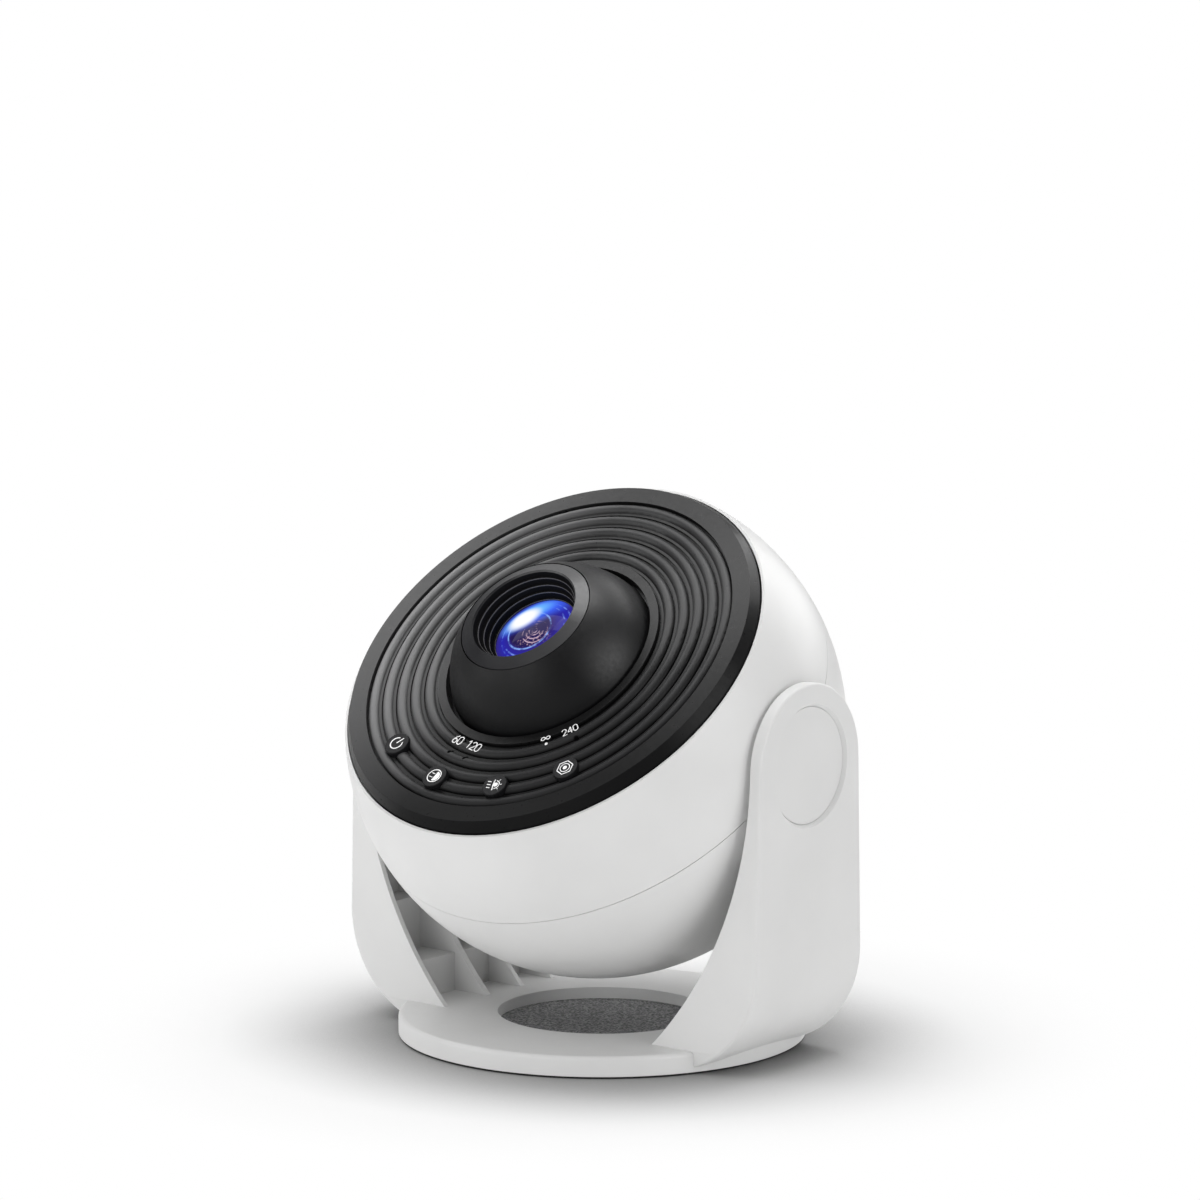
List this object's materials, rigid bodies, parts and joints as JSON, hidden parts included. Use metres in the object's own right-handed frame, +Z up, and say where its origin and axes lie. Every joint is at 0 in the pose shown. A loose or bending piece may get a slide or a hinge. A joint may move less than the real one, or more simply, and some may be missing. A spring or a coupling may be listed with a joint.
{
  "type": "planetarium projector",
  "caption": "Ball-shaped star projector tilting in a two-armed stand, with a ridged dark front disc, push buttons, a domed focus ring and a deep-set blue coated lens.",
  "frame": {"origin": "centre of the foot pad's underside, on the surface the projector stands on", "axes": "+Z up; +X along the tilt axis, to the right as seen from the front; -Y the front, where the lens points"},
  "size_m": [0.1388, 0.1314, 0.1459],
  "materials": {
    "stand_white": "satin",
    "shell_white": "satin",
    "bezel_charcoal": "fine matt texture",
    "button_charcoal": "matt",
    "dome_black": "satin",
    "barrel_black": "satin",
    "chassis_black": "matt",
    "window_smoke": "polished",
    "switch_black": "matt",
    "pad_grey": "grained",
    "foot_rubber": "matt",
    "coated_glass": "coated, polished",
    "clear_glass": "polished",
    "film_glass": "polished",
    "gear_nylon": "moulded",
    "steel": "plated",
    "motor_steel": "plated",
    "inlet_steel": "plated",
    "sink_aluminium": "bare",
    "board_green": "lacquered",
    "led_board_white": "lacquered"
  },
  "bodies": {
    "stand": {"stand_base": "stand_white", "left_arm": "stand_white", "right_arm": "stand_white", "base_cover": "stand_white", "base_screws": "steel", "ballast_ring": "steel", "centre_pad": "pad_grey", "foot_pad": "foot_rubber", "left_pivot_bush": "gear_nylon", "left_pivot_washer": "steel", "left_pivot_cap": "stand_white", "right_pivot_bush": "gear_nylon", "right_pivot_washer": "steel", "right_pivot_cap": "stand_white"},
    "head": {"front_shell": "shell_white", "rear_shell": "shell_white", "bezel": "bezel_charcoal", "indicator_windows": "window_smoke", "button_board": "board_green", "tact_switches": "switch_black", "chassis": "chassis_black", "chassis_screws": "steel", "bezel_screws": "steel", "gear_motor": "motor_steel", "lamp_housing": "chassis_black", "lamp_screws": "steel", "condenser_lens": "clear_glass", "condenser_clip": "barrel_black", "led_board": "led_board_white", "heat_sink": "sink_aluminium", "heat_sink_screws": "steel", "main_board": "board_green", "main_board_screws": "steel", "power_inlet": "inlet_steel", "left_pivot_bolt": "steel", "right_pivot_bolt": "steel"},
    "focus_ring": {"focus_ring": "dome_black"},
    "lens_barrel": {"lens_tube": "barrel_black", "front_lens": "coated_glass", "lens_spacer": "barrel_black", "rear_lens": "clear_glass", "lens_lock_ring": "barrel_black"},
    "film_wheel": {"film_carrier": "gear_nylon", "film_disc": "film_glass", "film_clip": "barrel_black"},
    "pinion": {"motor_pinion": "gear_nylon"},
    "button_power": {"button_power": "button_charcoal"},
    "button_contrast": {"button_contrast": "button_charcoal"},
    "button_rays": {"button_rays": "button_charcoal"},
    "button_timer": {"button_timer": "button_charcoal"}
  },
  "joints": [
    {"name": "head_tilt", "type": "hinge", "parent": "stand", "child": "head", "pos_m": [0, 0, 0.081], "axis": [-1, 0, 0], "range_deg": [-48.5, 41.5]},
    {"name": "focus_turn", "type": "hinge", "parent": "head", "child": "focus_ring", "pos_m": [0, 0, 0.081], "axis": [0, -0.6626, 0.749], "range_deg": [-60, 60]},
    {"name": "focus_slide", "type": "slide", "parent": "head", "child": "lens_barrel", "axis": [0, -0.6626, 0.749], "range_m": [-0.002, 0.002]},
    {"name": "film_spin", "type": "hinge", "parent": "head", "child": "film_wheel", "pos_m": [0, 0, 0.081], "axis": [0, -0.6626, 0.749], "continuous": true},
    {"name": "pinion_spin", "type": "hinge", "parent": "head", "child": "pinion", "pos_m": [-0.02438, 0.006, 0.09546], "axis": [0, -0.6626, 0.749], "continuous": true},
    {"name": "button_power_press", "type": "slide", "parent": "head", "child": "button_power", "axis": [0, 0.6626, -0.749], "range_m": [0, 0.0005], "stiffness_N_per_m": 600, "springref_m": -0.0002},
    {"name": "button_contrast_press", "type": "slide", "parent": "head", "child": "button_contrast", "axis": [0, 0.6626, -0.749], "range_m": [0, 0.0005], "stiffness_N_per_m": 600, "springref_m": -0.0002},
    {"name": "button_rays_press", "type": "slide", "parent": "head", "child": "button_rays", "axis": [0, 0.6626, -0.749], "range_m": [0, 0.0005], "stiffness_N_per_m": 600, "springref_m": -0.0002},
    {"name": "button_timer_press", "type": "slide", "parent": "head", "child": "button_timer", "axis": [0, 0.6626, -0.749], "range_m": [0, 0.0005], "stiffness_N_per_m": 600, "springref_m": -0.0002}
  ],
  "couplings": [
    {"joint": "focus_turn", "follows": "focus_slide", "rad_per_m": 523.59},
    {"joint": "pinion_spin", "follows": "film_spin", "ratio": -6}
  ]
}
